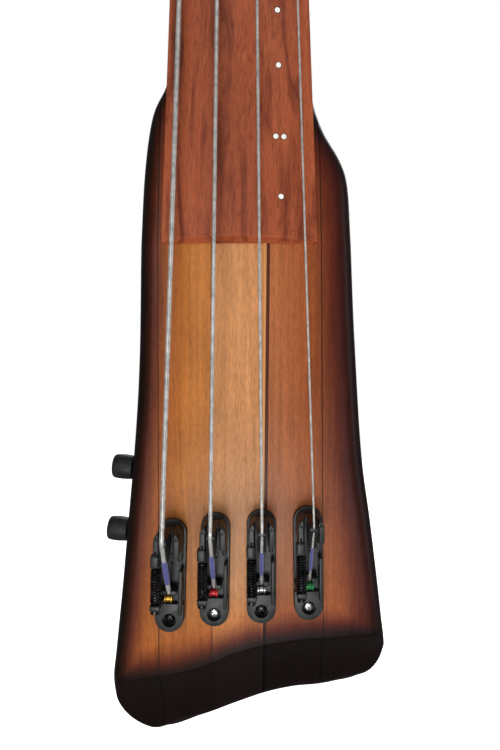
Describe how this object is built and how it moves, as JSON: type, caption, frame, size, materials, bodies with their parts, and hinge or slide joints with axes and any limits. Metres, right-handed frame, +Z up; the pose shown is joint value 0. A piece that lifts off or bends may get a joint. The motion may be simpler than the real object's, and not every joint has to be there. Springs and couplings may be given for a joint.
{
  "type": "electric upright bass",
  "caption": "Slim solid-body electric upright bass with fretless fingerboard, single-string bridges, geared tuners and a back plate for its stand.",
  "frame": {"origin": "middle of the stand plate's outer face on the back of the body", "axes": "+X to the treble side, +Y out of the back, +Z up the body towards the headstock"},
  "size_m": [0.183, 0.1694, 1.1726],
  "materials": {
    "core_wood": "satin lacquer over golden brown striped wood",
    "wing_wood": "satin sunburst lacquer, amber to black",
    "board_wood": "bare oiled reddish-brown wood",
    "nut_black": "polished black",
    "black_metal": "satin black",
    "saddle_black": "moulded black",
    "knob_black": "matte black",
    "black_plastic": "matte black",
    "steel": "satin steel",
    "string_steel": "wound steel",
    "brass": "plain brass",
    "board_green": "solder mask",
    "battery_case": "printed sleeve, left plain"
  },
  "bodies": {
    "instrument": {"neck_through_core": "core_wood", "bass_wing": "wing_wood", "treble_wing": "wing_wood", "fingerboard": "board_wood", "nut": "nut_black", "truss_rod": "steel", "truss_rod_cover": "black_plastic", "stand_plate": "black_metal", "cavity_cover": "black_plastic", "preamp_board": "board_green", "battery": "battery_case", "output_jack": "black_metal", "volume_pot": "steel", "tone_pot": "steel", "string_e": "string_steel", "ball_end_e": "brass", "bridge_base_e": "black_metal", "bridge_fixing_screw_e": "steel", "intonation_spring_e": "black_metal", "tuner_housing_e": "black_metal", "string_a": "string_steel", "ball_end_a": "brass", "bridge_base_a": "black_metal", "bridge_fixing_screw_a": "steel", "intonation_spring_a": "black_metal", "tuner_housing_a": "black_metal", "string_d": "string_steel", "ball_end_d": "brass", "bridge_base_d": "black_metal", "bridge_fixing_screw_d": "steel", "intonation_spring_d": "black_metal", "tuner_housing_d": "black_metal", "string_g": "string_steel", "ball_end_g": "brass", "bridge_base_g": "black_metal", "bridge_fixing_screw_g": "steel", "intonation_spring_g": "black_metal", "tuner_housing_g": "black_metal"},
    "volume_control": {"volume_knob": "knob_black"},
    "tone_control": {"tone_knob": "knob_black"},
    "screw_e": {"intonation_screw_e": "black_metal"},
    "carriage_e": {"bridge_carriage_e": "black_metal"},
    "saddle_e": {"bridge_saddle_e": "saddle_black"},
    "screw_a": {"intonation_screw_a": "black_metal"},
    "carriage_a": {"bridge_carriage_a": "black_metal"},
    "saddle_a": {"bridge_saddle_a": "saddle_black"},
    "screw_d": {"intonation_screw_d": "black_metal"},
    "carriage_d": {"bridge_carriage_d": "black_metal"},
    "saddle_d": {"bridge_saddle_d": "saddle_black"},
    "screw_g": {"intonation_screw_g": "black_metal"},
    "carriage_g": {"bridge_carriage_g": "black_metal"},
    "saddle_g": {"bridge_saddle_g": "saddle_black"},
    "button_e": {"tuner_button_e": "black_metal"},
    "post_e": {"tuner_post_e": "black_metal"},
    "button_a": {"tuner_button_a": "black_metal"},
    "post_a": {"tuner_post_a": "black_metal"},
    "button_d": {"tuner_button_d": "black_metal"},
    "post_d": {"tuner_post_d": "black_metal"},
    "button_g": {"tuner_button_g": "black_metal"},
    "post_g": {"tuner_post_g": "black_metal"}
  },
  "joints": [
    {"name": "volume_turn", "type": "hinge", "parent": "instrument", "child": "volume_control", "pos_m": [-0.069, -0.0225, -0.087], "axis": [-0.9962, 0, 0.0872], "range_deg": [-140, 140]},
    {"name": "tone_turn", "type": "hinge", "parent": "instrument", "child": "tone_control", "pos_m": [-0.0736, -0.0225, -0.1288], "axis": [-0.9962, 0, 0.0872], "range_deg": [-140, 140]},
    {"name": "intonation_screw_e_turn", "type": "hinge", "parent": "instrument", "child": "screw_e", "pos_m": [-0.0492, -0.0655, -0.14995], "axis": [0.0419, 0, 0.9991], "range_deg": [-2061, 2061]},
    {"name": "carriage_e_slide", "type": "slide", "parent": "instrument", "child": "carriage_e", "axis": [0.0419, 0, 0.9991], "range_m": [-0.004, 0.004], "deforming": ["intonation_spring_e", "string_e"]},
    {"name": "saddle_e_height", "type": "slide", "parent": "carriage_e", "child": "saddle_e", "axis": [0, -1, 0], "range_m": [-0.003, 0.003], "deforming": ["string_e"]},
    {"name": "intonation_screw_a_turn", "type": "hinge", "parent": "instrument", "child": "screw_a", "pos_m": [-0.0218, -0.0655, -0.14628], "axis": [0.0209, 0, 0.9998], "range_deg": [-2061, 2061]},
    {"name": "carriage_a_slide", "type": "slide", "parent": "instrument", "child": "carriage_a", "axis": [0.0209, 0, 0.9998], "range_m": [-0.004, 0.004], "deforming": ["intonation_spring_a", "string_a"]},
    {"name": "saddle_a_height", "type": "slide", "parent": "carriage_a", "child": "saddle_a", "axis": [0, -1, 0], "range_m": [-0.003, 0.003], "deforming": ["string_a"]},
    {"name": "intonation_screw_d_turn", "type": "hinge", "parent": "instrument", "child": "screw_d", "pos_m": [0.007, -0.0655, -0.1444], "axis": [0, 0, 1], "range_deg": [-2061, 2061]},
    {"name": "carriage_d_slide", "type": "slide", "parent": "instrument", "child": "carriage_d", "axis": [0, 0, 1], "range_m": [-0.004, 0.004], "deforming": ["intonation_spring_d", "string_d"]},
    {"name": "saddle_d_height", "type": "slide", "parent": "carriage_d", "child": "saddle_d", "axis": [0, -1, 0], "range_m": [-0.003, 0.003], "deforming": ["string_d"]},
    {"name": "intonation_screw_g_turn", "type": "hinge", "parent": "instrument", "child": "screw_g", "pos_m": [0.036, -0.0655, -0.1423], "axis": [-0.0175, 0, 0.9998], "range_deg": [-2061, 2061]},
    {"name": "carriage_g_slide", "type": "slide", "parent": "instrument", "child": "carriage_g", "axis": [-0.0175, 0, 0.9998], "range_m": [-0.004, 0.004], "deforming": ["intonation_spring_g", "string_g"]},
    {"name": "saddle_g_height", "type": "slide", "parent": "carriage_g", "child": "saddle_g", "axis": [0, -1, 0], "range_m": [-0.003, 0.003], "deforming": ["string_g"]},
    {"name": "tuner_button_e_turn", "type": "hinge", "parent": "instrument", "child": "button_e", "pos_m": [-0.017, 0.06567, 0.79319], "axis": [1, 0, 0], "continuous": true},
    {"name": "tuner_post_e_turn", "type": "hinge", "parent": "instrument", "child": "post_e", "pos_m": [-0.017, 0.0457, 0.81017], "axis": [0, -0.9657, 0.2598], "continuous": true},
    {"name": "tuner_button_a_turn", "type": "hinge", "parent": "instrument", "child": "button_a", "pos_m": [-0.017, 0.0797, 0.84534], "axis": [1, 0, 0], "continuous": true},
    {"name": "tuner_post_a_turn", "type": "hinge", "parent": "instrument", "child": "post_a", "pos_m": [-0.017, 0.05973, 0.86231], "axis": [0, -0.9657, 0.2598], "continuous": true},
    {"name": "tuner_button_d_turn", "type": "hinge", "parent": "instrument", "child": "button_d", "pos_m": [0.017, 0.0797, 0.84534], "axis": [1, 0, 0], "continuous": true},
    {"name": "tuner_post_d_turn", "type": "hinge", "parent": "instrument", "child": "post_d", "pos_m": [0.017, 0.05973, 0.86231], "axis": [0, -0.9657, 0.2598], "continuous": true},
    {"name": "tuner_button_g_turn", "type": "hinge", "parent": "instrument", "child": "button_g", "pos_m": [0.017, 0.06567, 0.79319], "axis": [1, 0, 0], "continuous": true},
    {"name": "tuner_post_g_turn", "type": "hinge", "parent": "instrument", "child": "post_g", "pos_m": [0.017, 0.0457, 0.81017], "axis": [0, -0.9657, 0.2598], "continuous": true}
  ],
  "couplings": [
    {"joint": "intonation_screw_e_turn", "follows": "carriage_e_slide", "rad_per_m": 8976},
    {"joint": "intonation_screw_a_turn", "follows": "carriage_a_slide", "rad_per_m": 8976},
    {"joint": "intonation_screw_d_turn", "follows": "carriage_d_slide", "rad_per_m": 8976},
    {"joint": "intonation_screw_g_turn", "follows": "carriage_g_slide", "rad_per_m": 8976},
    {"joint": "tuner_post_e_turn", "follows": "tuner_button_e_turn", "ratio": -0.05},
    {"joint": "tuner_post_a_turn", "follows": "tuner_button_a_turn", "ratio": -0.05},
    {"joint": "tuner_post_d_turn", "follows": "tuner_button_d_turn", "ratio": 0.05},
    {"joint": "tuner_post_g_turn", "follows": "tuner_button_g_turn", "ratio": 0.05}
  ]
}
